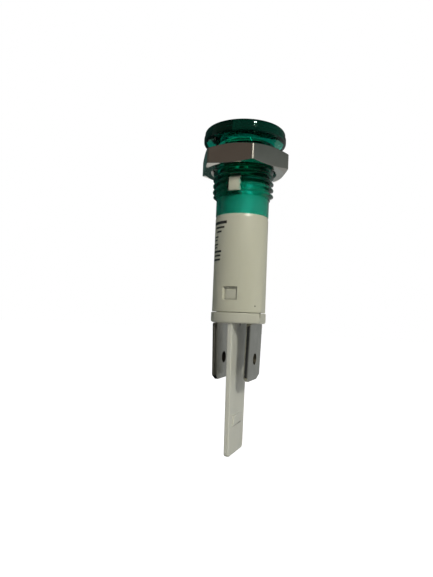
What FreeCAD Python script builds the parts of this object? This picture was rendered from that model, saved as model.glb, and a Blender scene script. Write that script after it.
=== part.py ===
import FreeCAD, Part
import math
import os

# Panel pilot light with a green lens, a threaded barrel, an ivory body and two push-on tabs.
# Lengths are in millimetres. +Z runs along the axis towards the lens face.
# The origin is on the axis, in the underside of the head, which seats on the panel.
# The snap windows face -Y and +Y, and the flat sides of the tabs face -X and +X.

# Head of the lens, moulded in one with its barrel
head_diameter = 13.45
head_upper_diameter = 13.2
head_height = 2.25
rim_band_height = 1.1
head_top_round = 0.6
rim_round = 0.45
lens_face_wall = 1.1

# Barrel below the head
thread_diameter = 9.9
thread_length = 9.0
thread_end_slope = 0.35
sleeve_diameter = 8.6
sleeve_length = 2.85
barrel_bore = 7.1
bore_end_round = 0.6
barrel_window_width = 2.2
barrel_window_height = 2.65
barrel_window_above_thread_end = 0.6

# Hex nut on the thread
nut_across_flats = 13.0
nut_thickness = 3.0
nut_bore_clearance = 0.05
nut_top_chamfer_angle = 22.0
nut_foot_chamfer_angle = 14.0
nut_chamfer_flat_cut = 0.05
nut_bore_chamfer = 0.3
nut_below_head = 1.55
nut_turn = 28.5

# Body tube and the spigot that holds the barrel
body_diameter = 8.6
body_length = 15.45
body_edge_round = 0.12
body_bore = 6.6
spigot_length = 6.5
spigot_clearance = 0.05
spigot_bore = 5.6
spigot_end_round = 0.25
shoulder_thickness = 0.9
lug_gap = 0.12
lug_sink_below_thread = 0.55
lug_ramp = 0.5
body_window_width = 2.3
body_window_height = 2.0
body_window_above_end = 2.0

# End cap with the plug that snaps into the body
plug_bore = 7.3
plug_bore_depth = 4.8
plug_clearance = 0.05
plug_wall = 0.5
plug_length = 4.6
plug_end_round = 0.15
nub_width = 1.35
nub_height = 1.2
nub_above_window_foot = 0.2
nub_sink_below_body = 0.3
nub_ramp = 0.35
collar_diameter = 8.85
collar_height = 1.65
collar_round = 0.35
collar_flat_cut = 0.28

# Separator tongue of the end cap, which stands between the tabs
tongue_length = 20.55
tongue_thickness = 0.8
tongue_root_width = 7.9
tongue_tip_width = 6.95
tongue_edge_round = 0.15
tongue_tip_round = 0.6
pip_width = 4.2
pip_height = 1.75
pip_relief = 0.25
pip_above_tip = 4.4

# Push-on tabs
tab_width = 6.3
tab_thickness = 0.8
tab_spacing = 5.54
tab_lean_angle = 1.6
tab_length = 8.9
tab_shoulder_gap = 0.1
tab_shoulder_round = 0.7
tab_tip_chamfer_width = 0.9
tab_tip_chamfer_height = 0.7
tab_tip_bevel_depth = 0.2
tab_tip_bevel_length = 0.9
tab_hole_diameter = 1.7
tab_hole_above_tip = 3.4
tab_fold_round = 0.3
tab_seam_width = 0.12
tab_seam_depth = 0.15
neck_width = 2.7
neck_front_offset = 0.55
neck_top_gap = 0.1
neck_overlap = 0.1
slot_clearance = 0.08
tail_width = 1.15
tail_length = 3.6

# Neon lamp and its leads
lamp_diameter = 5.0
lamp_length = 12.0
lamp_tip_gap = 0.3
lamp_top_round = 1.6
lamp_base_round = 0.9
lamp_nipple_diameter = 1.0
lamp_nipple_height = 0.5
lead_diameter = 0.5
lead_spacing = 2.2
lead_bend_radius = 0.6
solder_gap = 0.03

# Series resistor with its shrink sleeve
resistor_diameter = 2.3
resistor_waist_diameter = 2.05
resistor_length = 6.4
resistor_end_length = 1.3
resistor_round = 0.4
shrink_wall = 0.2
shrink_gap = 0.04
shrink_overhang = 0.4

# Crimp ferrule, lead sleeve and solder joints
ferrule_length = 1.6
ferrule_wall = 0.25
ferrule_clearance = 0.02
bare_lead_share_above_ferrule = 0.37
bare_lead_share_below_ferrule = 0.22
lead_sleeve_wall = 0.22
lead_sleeve_clearance = 0.04
lead_sleeve_end_gap = 0.3
solder_reach = 0.62
solder_length = 1.5
solder_above_collar = 1.3

# Heights that several pieces share
thread_end = -thread_length
sleeve_end = thread_end - sleeve_length
body_end = sleeve_end - body_length
collar_end = body_end - collar_height
tongue_end = collar_end - tongue_length
tab_shoulder = collar_end - tab_shoulder_gap
tab_end = tab_shoulder - tab_length
lens_ceiling = head_height - lens_face_wall
lamp_top = lens_ceiling - lamp_tip_gap
lamp_base = lamp_top - lamp_length
solder_middle = body_end + solder_above_collar

# Radii and places that several pieces share
thread_radius = thread_diameter / 2.0
spigot_radius = barrel_bore / 2.0 - spigot_clearance
plug_radius = plug_bore / 2.0 - plug_clearance
tab_centre = tab_spacing / 2.0
tab_inner_face = tab_centre - tab_thickness / 2.0
lead_radius = lead_diameter / 2.0
lead_place = lead_spacing / 2.0
lead_at_tab = tab_inner_face - solder_gap - lead_radius
lead_end = solder_middle - solder_length / 2.0 + lead_radius
bend_foot = solder_middle + solder_length / 2.0 + lead_radius
bend_top = bend_foot + abs(lead_at_tab - lead_place)
barrel_window_foot = thread_end + barrel_window_above_thread_end
body_window_foot = body_end + body_window_above_end

# The ferrule and the sleeved resistor share out the bare lead between the lamp and the bend
bare_lead = lamp_base - bend_top - ferrule_length - resistor_length - 2 * shrink_overhang
ferrule_top = lamp_base - bare_lead * bare_lead_share_above_ferrule
ferrule_foot = ferrule_top - ferrule_length
ferrule_middle = (ferrule_top + ferrule_foot) / 2.0
resistor_top = ferrule_foot - bare_lead * bare_lead_share_below_ferrule - shrink_overhang
resistor_base = resistor_top - resistor_length

# Helpers for cutting and for picking edges
cut_overrun = 1.0
edge_tolerance = 0.01


def corner_arc(before, corner, after, radius):
    """Start, middle and end of the arc that rounds one corner of an outline."""
    to_before = (before - corner).normalize()
    to_after = (after - corner).normalize()
    half_angle = to_before.getAngle(to_after) / 2.0
    setback = radius / math.tan(half_angle)
    start = corner + to_before * setback
    end = corner + to_after * setback
    inwards = (to_before + to_after).normalize()
    middle = corner + inwards * (radius / math.sin(half_angle) - radius)
    return start, middle, end


def rounded_wire(corners, closed=True):
    """A wire through (point, radius) corners, with an arc at each corner that has a radius."""
    stops = []
    for index, (corner, radius) in enumerate(corners):
        if radius > 0:
            before = corners[index - 1][0]
            after = corners[(index + 1) % len(corners)][0]
            stops.append(corner_arc(before, corner, after, radius))
        else:
            stops.append((corner,))
    edges = []
    for index, stop in enumerate(stops):
        if len(stop) == 3:
            edges.append(Part.Arc(*stop).toShape())
        if closed or index < len(stops) - 1:
            following = stops[(index + 1) % len(stops)][0]
            if stop[-1].distanceToPoint(following) > 1e-6:
                edges.append(Part.makeLine(stop[-1], following))
    return Part.Wire(edges)


def turned(profile):
    """A turned solid from (radius, height, corner round) points."""
    corners = [(FreeCAD.Vector(radius, 0, height), round_) for radius, height, round_ in profile]
    face = Part.Face(rounded_wire(corners))
    return face.revolve(FreeCAD.Vector(0, 0, 0), FreeCAD.Vector(0, 0, 1), 360)


def plate(outline, centre_x, thickness):
    """A flat plate from (y, z, corner round) points, square to X."""
    start_x = centre_x - thickness / 2.0
    corners = [(FreeCAD.Vector(start_x, y, z), round_) for y, z, round_ in outline]
    return Part.Face(rounded_wire(corners)).extrude(FreeCAD.Vector(thickness, 0, 0))


def block(low, high):
    """A box between two opposite corners."""
    size = [far - near for near, far in zip(low, high)]
    return Part.makeBox(size[0], size[1], size[2], FreeCAD.Vector(*low))


def tube(inner_radius, outer_radius, foot, top, place_x):
    """A round tube along Z."""
    base = FreeCAD.Vector(place_x, 0, foot)
    outer = Part.makeCylinder(outer_radius, top - foot, base)
    inner = Part.makeCylinder(inner_radius, top - foot, base)
    return outer.cut(inner)


def rod(radius, foot, top, place_x):
    """A round rod along Z."""
    return Part.makeCylinder(radius, top - foot, FreeCAD.Vector(place_x, 0, foot))


def bent_lead(side, top):
    """A lead that runs down, steps sideways to its tab and runs on along it."""
    path = rounded_wire([
        (FreeCAD.Vector(side * lead_place, 0, top), 0),
        (FreeCAD.Vector(side * lead_place, 0, bend_top), lead_bend_radius),
        (FreeCAD.Vector(side * lead_at_tab, 0, bend_foot), lead_bend_radius),
        (FreeCAD.Vector(side * lead_at_tab, 0, lead_end), 0),
    ], closed=False)
    circle = Part.makeCircle(lead_radius, FreeCAD.Vector(side * lead_place, 0, top))
    return path.makePipeShell([Part.Wire(circle)], True, False)


def snap_block(width, inner, outer, foot, height, ramp):
    """Two opposite snap blocks, on -Y and +Y, each with a ramp on its upper edge."""
    outline = [
        (FreeCAD.Vector(-width / 2.0, inner, foot), 0),
        (FreeCAD.Vector(-width / 2.0, outer, foot), 0),
        (FreeCAD.Vector(-width / 2.0, outer, foot + height - ramp), 0),
        (FreeCAD.Vector(-width / 2.0, outer - ramp, foot + height), 0),
        (FreeCAD.Vector(-width / 2.0, inner, foot + height), 0),
    ]
    back = Part.Face(rounded_wire(outline)).extrude(FreeCAD.Vector(width, 0, 0))
    front = back.mirror(FreeCAD.Vector(0, 0, 0), FreeCAD.Vector(0, 1, 0))
    rounding = Part.makeCylinder(outer, height, FreeCAD.Vector(0, 0, foot))
    return back.fuse(front).common(rounding)


def make_lens_barrel():
    """The green head and its barrel. The thread lies inside the plain cylinder shown here."""
    head_radius = head_diameter / 2.0
    upper_radius = head_upper_diameter / 2.0
    sleeve_radius = sleeve_diameter / 2.0
    bore_radius = barrel_bore / 2.0
    lens = turned([
        (0, head_height, 0),
        (upper_radius, head_height, head_top_round),
        (upper_radius, rim_band_height, 0),
        (head_radius, rim_band_height, (head_radius - upper_radius) / 2.0),
        (head_radius, 0, rim_round),
        (thread_radius, 0, 0),
        (thread_radius, thread_end + thread_end_slope, 0),
        (sleeve_radius, thread_end, 0),
        (sleeve_radius, sleeve_end, 0),
        (bore_radius, sleeve_end, 0),
        (bore_radius, lens_ceiling, bore_end_round),
        (0, lens_ceiling, 0),
    ])
    half_width = barrel_window_width / 2.0
    window_top = barrel_window_foot + barrel_window_height
    windows = block(
        (-half_width, -head_radius, barrel_window_foot),
        (half_width, head_radius, window_top),
    )
    return lens.cut(windows)


def make_hex_nut():
    """The nut, chamfered on both faces, with a plain bore that clears the thread crests."""
    flat_radius = nut_across_flats / 2.0
    corner_radius = flat_radius / math.cos(math.radians(30))
    top = -nut_below_head
    foot = top - nut_thickness
    corners = []
    for step in range(6):
        angle = math.radians(-90 + nut_turn + 60 * step)
        corners.append(FreeCAD.Vector(corner_radius * math.cos(angle), corner_radius * math.sin(angle), foot))
    prism = Part.Face(Part.makePolygon(corners + corners[:1])).extrude(FreeCAD.Vector(0, 0, nut_thickness))
    chamfer_radius = flat_radius - nut_chamfer_flat_cut
    top_cut = (corner_radius - chamfer_radius) * math.tan(math.radians(nut_top_chamfer_angle))
    foot_cut = (corner_radius - chamfer_radius) * math.tan(math.radians(nut_foot_chamfer_angle))
    turned_limit = turned([
        (0, top, 0),
        (chamfer_radius, top, 0),
        (corner_radius, top - top_cut, 0),
        (corner_radius, foot + foot_cut, 0),
        (chamfer_radius, foot, 0),
        (0, foot, 0),
    ])
    bore_radius = thread_radius + nut_bore_clearance
    bore = turned([
        (0, top, 0),
        (bore_radius + nut_bore_chamfer, top, 0),
        (bore_radius, top - nut_bore_chamfer, 0),
        (bore_radius, foot + nut_bore_chamfer, 0),
        (bore_radius + nut_bore_chamfer, foot, 0),
        (0, foot, 0),
    ])
    return prism.common(turned_limit).cut(bore)


def make_body():
    """The ivory tube, its spigot with two lugs, and two windows for the nubs of the end cap."""
    body_radius = body_diameter / 2.0
    spigot_top = sleeve_end + spigot_length
    bore_top = sleeve_end - shoulder_thickness
    plug_seat = body_end + plug_bore_depth
    shell = turned([
        (spigot_bore / 2.0, spigot_top, 0),
        (spigot_radius, spigot_top, spigot_end_round),
        (spigot_radius, sleeve_end, 0),
        (body_radius, sleeve_end, body_edge_round),
        (body_radius, body_end, body_edge_round),
        (plug_bore / 2.0, body_end, 0),
        (plug_bore / 2.0, plug_seat, 0),
        (body_bore / 2.0, plug_seat, 0),
        (body_bore / 2.0, bore_top, 0),
        (spigot_bore / 2.0, bore_top, 0),
    ])
    lugs = snap_block(
        barrel_window_width - 2 * lug_gap,
        spigot_radius - lug_gap,
        thread_radius - lug_sink_below_thread,
        barrel_window_foot + lug_gap,
        barrel_window_height - 2 * lug_gap,
        lug_ramp,
    )
    half_width = body_window_width / 2.0
    windows = block(
        (-half_width, -body_diameter, body_window_foot),
        (half_width, body_diameter, body_window_foot + body_window_height),
    )
    return shell.fuse(lugs).cut(windows).removeSplitter()


def make_tongue():
    """The tapered separator plate, with a raised pip on its +X side."""
    root = tongue_root_width / 2.0
    tip = tongue_tip_width / 2.0
    overlap = collar_height / 2.0
    outline = [
        (-root, collar_end + overlap, 0),
        (root, collar_end + overlap, 0),
        (root, collar_end, 0),
        (tip, tongue_end, tongue_tip_round),
        (-tip, tongue_end, tongue_tip_round),
        (-root, collar_end, 0),
    ]
    tongue = plate(outline, 0, tongue_thickness)
    long_edges = [
        edge for edge in tongue.Edges
        if edge.Length > tongue_length / 2.0 and abs(edge.BoundBox.XMax) > edge_tolerance
    ]
    tongue = tongue.makeFillet(tongue_edge_round, long_edges)
    face = tongue_thickness / 2.0
    pip_foot = tongue_end + pip_above_tip
    pip = block(
        (face - pip_relief, -pip_width / 2.0, pip_foot),
        (face + pip_relief, pip_width / 2.0, pip_foot + pip_height),
    )
    return tongue.fuse(pip)


def make_end_cap():
    """The collar, the plug with its two nubs, the slots for the tabs and the separator tongue."""
    collar_radius = collar_diameter / 2.0
    plug_top = body_end + plug_length
    cap = turned([
        (0, body_end, 0),
        (plug_radius - plug_wall, body_end, 0),
        (plug_radius - plug_wall, plug_top, 0),
        (plug_radius, plug_top, plug_end_round),
        (plug_radius, body_end, 0),
        (collar_radius, body_end, 0),
        (collar_radius, collar_end, collar_round),
        (0, collar_end, 0),
    ])
    flat_place = collar_radius - collar_flat_cut
    nubs = snap_block(
        nub_width,
        plug_radius - plug_wall,
        body_diameter / 2.0 - nub_sink_below_body,
        body_window_foot + nub_above_window_foot,
        nub_height,
        nub_ramp,
    )
    cap = cap.fuse(nubs).fuse(make_tongue())
    for side in (-1, 1):
        flat_near = side * flat_place
        flat_far = side * collar_diameter
        cap = cap.cut(block(
            (min(flat_near, flat_far), -collar_diameter, collar_end - cut_overrun),
            (max(flat_near, flat_far), collar_diameter, body_end),
        ))
        slot_half = tab_thickness / 2.0 + slot_clearance
        cap = cap.cut(block(
            (side * tab_centre - slot_half, -neck_front_offset - slot_clearance, collar_end - cut_overrun),
            (side * tab_centre + slot_half, neck_width - neck_front_offset + slot_clearance, body_end),
        ))
    return cap.removeSplitter()


def make_tab_blade(side, seam_side):
    """The part of a tab that a receptacle slides onto, standing straight below the collar."""
    half = tab_width / 2.0
    outline = [
        (half, tab_shoulder, tab_shoulder_round),
        (half, tab_end + tab_tip_chamfer_height, 0),
        (half - tab_tip_chamfer_width, tab_end, 0),
        (tab_tip_chamfer_width - half, tab_end, 0),
        (-half, tab_end + tab_tip_chamfer_height, 0),
        (-half, tab_shoulder, tab_shoulder_round),
    ]
    blade = plate(outline, side * tab_centre, tab_thickness)
    fold_edges = [
        edge for edge in blade.Edges
        if edge.Length > tab_length / 2.0 and edge.BoundBox.YMin * -seam_side > half - edge_tolerance
    ]
    blade = blade.makeFillet(tab_fold_round, fold_edges)
    hole_place = FreeCAD.Vector(side * tab_centre - tab_thickness, 0, tab_end + tab_hole_above_tip)
    hole = Part.makeCylinder(tab_hole_diameter / 2.0, 2 * tab_thickness, hole_place, FreeCAD.Vector(1, 0, 0))
    seam_edges = sorted((seam_side * half, seam_side * (half - tab_seam_depth)))
    seam = block(
        (side * tab_centre - tab_seam_width / 2.0, seam_edges[0], tab_end),
        (side * tab_centre + tab_seam_width / 2.0, seam_edges[1], tab_shoulder),
    )
    blade = blade.cut(hole).cut(seam)
    for face_side in (-1, 1):
        face = side * tab_centre + face_side * tab_thickness / 2.0
        bevel = Part.makePolygon([
            FreeCAD.Vector(face, -tab_width, tab_end + tab_tip_bevel_length),
            FreeCAD.Vector(face, -tab_width, tab_end),
            FreeCAD.Vector(face - face_side * tab_tip_bevel_depth, -tab_width, tab_end),
            FreeCAD.Vector(face, -tab_width, tab_end + tab_tip_bevel_length),
        ])
        blade = blade.cut(Part.Face(bevel).extrude(FreeCAD.Vector(0, 2 * tab_width, 0)))
    return blade


def make_tab(side, seam_side):
    """One folded tab. side is its place along X, seam_side the long edge where the fold closes."""
    blade = make_tab_blade(side, seam_side)
    pivot = FreeCAD.Vector(side * tab_centre, 0, tab_shoulder)
    blade.rotate(pivot, FreeCAD.Vector(0, 1, 0), side * tab_lean_angle)
    neck_top = body_end - neck_top_gap
    neck = block(
        (side * tab_centre - tab_thickness / 2.0, -neck_front_offset, tab_shoulder - neck_overlap),
        (side * tab_centre + tab_thickness / 2.0, neck_width - neck_front_offset, neck_top),
    )
    tail_faces = sorted((side * tab_inner_face, side * tab_centre))
    tail = block(
        (tail_faces[0], -neck_front_offset, neck_top),
        (tail_faces[1], tail_width - neck_front_offset, body_end + tail_length),
    )
    return blade.fuse(neck).fuse(tail)


def make_neon_lamp():
    """The sealed glass lamp, with the nipple where it was closed."""
    lamp_radius = lamp_diameter / 2.0
    nipple_radius = lamp_nipple_diameter / 2.0
    glass_top = lamp_top - lamp_nipple_height
    return turned([
        (0, lamp_top, 0),
        (nipple_radius, lamp_top, nipple_radius / 2.0),
        (nipple_radius, glass_top, 0),
        (lamp_radius, glass_top, lamp_top_round),
        (lamp_radius, lamp_base, lamp_base_round),
        (0, lamp_base, 0),
    ])


def make_series_resistor():
    """The resistor, thicker at its two end caps."""
    end_radius = resistor_diameter / 2.0
    waist_radius = resistor_waist_diameter / 2.0
    blank = turned([
        (0, resistor_top, 0),
        (end_radius, resistor_top, resistor_round),
        (end_radius, resistor_top - resistor_end_length, 0),
        (waist_radius, resistor_top - resistor_end_length - resistor_round, 0),
        (waist_radius, resistor_base + resistor_end_length + resistor_round, 0),
        (end_radius, resistor_base + resistor_end_length, 0),
        (end_radius, resistor_base, resistor_round),
        (0, resistor_base, 0),
    ])
    blank.translate(FreeCAD.Vector(-lead_place, 0, 0))
    return blank


def make_solder_joint(side, lead):
    """A blob of solder between the end of a lead and the tail of a tab."""
    centre = FreeCAD.Vector(side * lead_at_tab, 0, solder_middle)
    blob = Part.makeSphere(1.0)
    stretch = FreeCAD.Matrix()
    stretch.scale(solder_reach, solder_reach, solder_length / 2.0)
    blob = blob.transformGeometry(stretch)
    blob.translate(centre)
    near = side * tab_inner_face
    far = side * (tab_inner_face + 2 * tab_thickness)
    beyond_tab = block((min(near, far), -tab_width, tab_end), (max(near, far), tab_width, lamp_base))
    return blob.cut(beyond_tab).cut(lead)


resistor_lead_lower = bent_lead(-1, resistor_base)
lamp_lead_right = bent_lead(1, lamp_base)
ferrule_bore = lead_radius + ferrule_clearance
lead_sleeve_bore = lead_radius + lead_sleeve_clearance
shrink_bore = resistor_diameter / 2.0 + shrink_gap

pieces = {
    "lens_barrel": make_lens_barrel(),
    "hex_nut": make_hex_nut(),
    "body_tube": make_body(),
    "end_cap": make_end_cap(),
    "tab_left": make_tab(-1, -1),
    "tab_right": make_tab(1, 1),
    "neon_lamp": make_neon_lamp(),
    "lamp_lead_left": rod(lead_radius, ferrule_middle, lamp_base, -lead_place),
    "lamp_lead_right": lamp_lead_right,
    "crimp_ferrule": tube(
        ferrule_bore, ferrule_bore + ferrule_wall, ferrule_foot, ferrule_top, -lead_place),
    "resistor_lead_upper": rod(lead_radius, resistor_top, ferrule_middle, -lead_place),
    "series_resistor": make_series_resistor(),
    "resistor_lead_lower": resistor_lead_lower,
    "shrink_sleeve": tube(
        shrink_bore, shrink_bore + shrink_wall,
        resistor_base - shrink_overhang, resistor_top + shrink_overhang, -lead_place),
    "lead_sleeve": tube(
        lead_sleeve_bore, lead_sleeve_bore + lead_sleeve_wall,
        bend_top + lead_bend_radius, lamp_base - lead_sleeve_end_gap, lead_place),
    "solder_joint_left": make_solder_joint(-1, resistor_lead_lower),
    "solder_joint_right": make_solder_joint(1, lamp_lead_right),
}

os.makedirs("parts", exist_ok=True)
for name, shape in pieces.items():
    solid_count = len(shape.Solids)
    print(name, "solids", solid_count, "valid", shape.isValid(), "volume", round(shape.Volume, 3))
    exported = shape.Solids[0] if solid_count == 1 else shape
    exported.exportStep(os.path.join("parts", name + ".step"))
print("total length", round(head_height - tongue_end, 2))
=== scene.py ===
# %% [markdown]
# # Dressing a panel pilot light for a product picture
# A panel pilot light is a slim signal lamp. Its green lens sits on the front of a panel, a nut clamps
# it from behind, and two flat tabs at the tail take push-on wires. The solids come from the CAD
# model. This lesson gives them the moulded, plated and stamped look of the real thing, and adds the
# thread, which the solids leave out.

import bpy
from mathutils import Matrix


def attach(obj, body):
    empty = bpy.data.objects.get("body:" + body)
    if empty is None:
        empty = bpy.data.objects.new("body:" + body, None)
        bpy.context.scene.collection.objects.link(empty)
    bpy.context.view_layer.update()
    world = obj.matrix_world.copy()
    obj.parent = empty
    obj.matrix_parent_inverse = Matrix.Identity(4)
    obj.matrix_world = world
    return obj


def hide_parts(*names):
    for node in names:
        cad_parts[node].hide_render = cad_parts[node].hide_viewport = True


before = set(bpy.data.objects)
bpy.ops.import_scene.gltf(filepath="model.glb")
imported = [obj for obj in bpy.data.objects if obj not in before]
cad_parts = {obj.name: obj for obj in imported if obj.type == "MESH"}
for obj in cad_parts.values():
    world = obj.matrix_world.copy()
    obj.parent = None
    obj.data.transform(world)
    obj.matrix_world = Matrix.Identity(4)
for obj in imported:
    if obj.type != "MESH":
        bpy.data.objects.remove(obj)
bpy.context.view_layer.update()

import math

import bmesh
import bpy
from mathutils import Matrix, Vector

scene = bpy.context.scene
print("Blender", bpy.app.version_string)

# %% [markdown]
# ## The camera
# The photograph is taken from close by, so the head is seen from below and the tail from above. A
# wide lens at a short distance gives that, and a long lens would not. The place, the tilt and the
# roll come from matching the outline of the solids to the outline in the photograph.

# %% Camera
VIEW_HEADING = 21.8
VIEW_TILT = 2.934
VIEW_ROLL = 2.331
LENS_LENGTH = 28.89
SENSOR_LONG_SIDE = 36.0
CAMERA_PLACE = (24.47, -71.18, -27.37)
TO_METRES = 0.001

camera = bpy.data.objects.new("camera", bpy.data.cameras.new("camera"))
camera.data.lens = LENS_LENGTH
camera.data.sensor_width = SENSOR_LONG_SIDE
camera.data.clip_start = 0.005
heading = Matrix.Rotation(math.radians(VIEW_HEADING), 4, "Z")
tilt = Matrix.Rotation(math.radians(90 + VIEW_TILT), 4, "X")
roll = Matrix.Rotation(math.radians(VIEW_ROLL), 4, "Z")
stand = Matrix.Translation(Vector(CAMERA_PLACE) * TO_METRES)
camera.matrix_world = stand @ heading @ tilt @ roll
scene.collection.objects.link(camera)
scene.camera = camera
print("camera", [round(value, 4) for value in camera.matrix_world.translation])

# %% [markdown]
# ## Nodes and colours
# Every finish below is a small node tree. One function adds a node with its settings and links, so
# that a tree reads from top to bottom. Colours are written as sRGB hex values, as a paint chart
# gives them, and the shader needs them linear, so one function turns them.

# %% Helpers for node trees
def linear(hex_value):
    """An sRGB hex colour as the linear colour, with alpha, that a shader takes."""
    parts = [int(hex_value[start:start + 2], 16) / 255 for start in (1, 3, 5)]
    return [part / 12.92 if part <= 0.04045 else ((part + 0.055) / 1.055) ** 2.4
            for part in parts] + [1.0]


def add_node(tree, kind, settings=None, links=None):
    """Adds a node. A setting is an input's name or number, or else a property of the node."""
    node = tree.nodes.new(kind)
    properties = {key: value for key, value in (settings or {}).items()
                  if isinstance(key, str) and key not in node.inputs}
    for key, value in properties.items():
        setattr(node, key, value)
    for key, value in (settings or {}).items():
        if key not in properties:
            node.inputs[key].default_value = value
    for key, socket in (links or {}).items():
        tree.links.new(socket, node.inputs[key])
    return node


def new_finish(name):
    """A material with an empty tree, its output node and the piece's own coordinates in metres."""
    finish = bpy.data.materials.new(name)
    finish.use_nodes = True
    tree = finish.node_tree
    tree.nodes.clear()
    output = add_node(tree, "ShaderNodeOutputMaterial")
    place = add_node(tree, "ShaderNodeTexCoord").outputs["Object"]
    return finish, tree, output, place


def noise(tree, place, feature_mm, detail=2.0, stretch=(1, 1, 1)):
    """Noise whose spots are about as wide as a real feature, in millimetres."""
    mapped = add_node(tree, "ShaderNodeMapping", {"Scale": stretch}, {"Vector": place})
    settings = {"Scale": 1 / (2 * feature_mm * TO_METRES), "Detail": detail, "Roughness": 0.55}
    return add_node(tree, "ShaderNodeTexNoise", settings, {"Vector": mapped.outputs[0]}).outputs[0]


def between(tree, factor, low, high):
    """Turns a 0 to 1 pattern into a range of numbers."""
    settings = {"To Min": low, "To Max": high}
    return add_node(tree, "ShaderNodeMapRange", settings, {"Value": factor}).outputs[0]


def blend(tree, factor, first, second, kind="MIX"):
    """Mixes or multiplies two colours by a pattern. Each is a hex value or a socket."""
    node = add_node(tree, "ShaderNodeMix", {"data_type": "RGBA", "blend_type": kind})
    for socket, colour in ((node.inputs[6], first), (node.inputs[7], second)):
        if isinstance(colour, str):
            socket.default_value = linear(colour)
        else:
            tree.links.new(colour, socket)
    tree.links.new(factor, node.inputs[0])
    return node.outputs[2]


def threshold(tree, pattern, low, high):
    """A mask that rises from 0 to 1 as the pattern goes from low to high."""
    settings = {"From Min": low, "From Max": high}
    return add_node(tree, "ShaderNodeMapRange", settings, {"Value": pattern}).outputs[0]


def calculate(tree, operation, *values):
    """Works a sum such as MULTIPLY on numbers and sockets."""
    node = add_node(tree, "ShaderNodeMath", {"operation": operation})
    for socket, value in zip(node.inputs, values):
        if isinstance(value, float):
            socket.default_value = value
        else:
            tree.links.new(value, socket)
    return node.outputs[0]


def split(tree, place):
    """The x, y and z of a place, in metres."""
    return add_node(tree, "ShaderNodeSeparateXYZ", {}, {0: place}).outputs


def distance(tree, place, point):
    """How far each place is from a point."""
    settings = {"operation": "DISTANCE", 1: point}
    return add_node(tree, "ShaderNodeVectorMath", settings, {0: place}).outputs["Value"]


def dents(tree, height, strength, depth_mm):
    """The normal of a surface that a height pattern roughens."""
    settings = {"Strength": strength, "Distance": depth_mm * TO_METRES}
    return add_node(tree, "ShaderNodeBump", settings, {"Height": height}).outputs[0]


def cover(tree, output, kind, settings, links=None):
    """Adds the shader that a material shows on its surface."""
    shader = add_node(tree, kind, settings, links)
    tree.links.new(shader.outputs[0], output.inputs["Surface"])
    return shader


# %% [markdown]
# ## Green polycarbonate, moulded
# The lens and its barrel are one clear green moulding in polycarbonate, from a polished mould. Light
# goes through it, so thin places such as the rim glow and thick ones are nearly black. The shader is
# glass with the plastic's index of 1.585. The green comes from absorption along the light's way: 1 mm
# takes four fifths of the red and a quarter of the green. Light on its way to the pieces inside goes
# straight through, because a path tracer seldom finds a small lamp through a bent surface. Where it
# would meet the surface at a flat angle, as on the lower flanks of the thread, little of it passes.
# The thread's grooves are painted darker than the crests, as painted shade where the crests shade
# them. The plain sleeve below the thread is painted a lighter green, as painted light where more
# light comes through. The reflections are slightly green and weaker than on glass, because fine
# scratches dull the polish.

# %% Green polycarbonate
def from_line(tree, place, along, point_mm):
    """How far each place is, in millimetres, from a line through a point along one axis."""
    scale = [(1 - part) / TO_METRES for part in along]
    middle = [value * (1 - part) for value, part in zip(point_mm, along)]
    flat = add_node(tree, "ShaderNodeVectorMath", {"operation": "MULTIPLY", 1: scale}, {0: place})
    return distance(tree, flat.outputs[0], middle)


PER_METRE = 2000.0
LAMP_AXIS = {"along": (0, 0, 1), "point_mm": (0, 0, 0)}
GROOVE_SHADE_BEGINS = 4.8
GROOVE_SHADE_IS_FULL = 4.5
THREAD_STOPS = (-0.00895, -0.00905)

finish_green, tree, output, place = new_finish("green_polycarbonate_moulded")
height = split(tree, place)[2]
# Painted shade: the thread's grooves are coloured darker than the crests.
groove_painted_shade = threshold(tree, from_line(tree, place, **LAMP_AXIS), GROOVE_SHADE_BEGINS, GROOVE_SHADE_IS_FULL)
below_seat = threshold(tree, height, 0.0, -0.0002)
sleeve_painted_light = threshold(tree, height, *THREAD_STOPS)
dye_and_painted_light = blend(tree, calculate(tree, "MULTIPLY", groove_painted_shade, below_seat), "#84e8c6", "#58bc98")
# Painted light: the plain sleeve below the thread is coloured a lighter green.
dye_and_painted_light = blend(tree, sleeve_painted_light, dye_and_painted_light, "#a4fbe8")
flow = noise(tree, place, 1.2, 3.0, (1, 1, 0.5))
surface = add_node(tree, "ShaderNodeBsdfPrincipled", {
    "Roughness": 0.06,
    "IOR": 1.585,
    "Specular Tint": linear("#a0c4b8"),
    "Transmission Weight": 1.0,
}, {"Base Color": dye_and_painted_light, "Normal": dents(tree, flow, 0.12, 0.02)})
grazing = add_node(tree, "ShaderNodeLayerWeight", {"Blend": 0.5}).outputs["Facing"]
passed = blend(tree, threshold(tree, grazing, 0.78, 0.92), "#e2fafd", "#16302a")
straight = add_node(tree, "ShaderNodeBsdfTransparent", {}, {"Color": passed})
path = add_node(tree, "ShaderNodeLightPath")
either = add_node(tree, "ShaderNodeMixShader", {}, {
    0: path.outputs["Is Shadow Ray"], 1: surface.outputs[0], 2: straight.outputs[0]})
absorbed = add_node(tree, "ShaderNodeVolumeAbsorption", {
    "Color": linear("#7ceeed"), "Density": PER_METRE})
tree.links.new(either.outputs[0], output.inputs["Surface"])
tree.links.new(absorbed.outputs[0], output.inputs["Volume"])
print(finish_green.name)

# %% [markdown]
# ## Ivory nylon, moulded
# The body and the end cap are glass-filled nylon in a warm ivory. The mould's spark-eroded walls
# leave a satin face: a fine grain, and a tone that drifts a little where the melt flowed. Nylon lets
# light in a short way, so a little subsurface scattering softens the shade.

# %% Ivory nylon
GRAIN_MM = 0.07
FLOW_MM = 2.5


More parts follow.
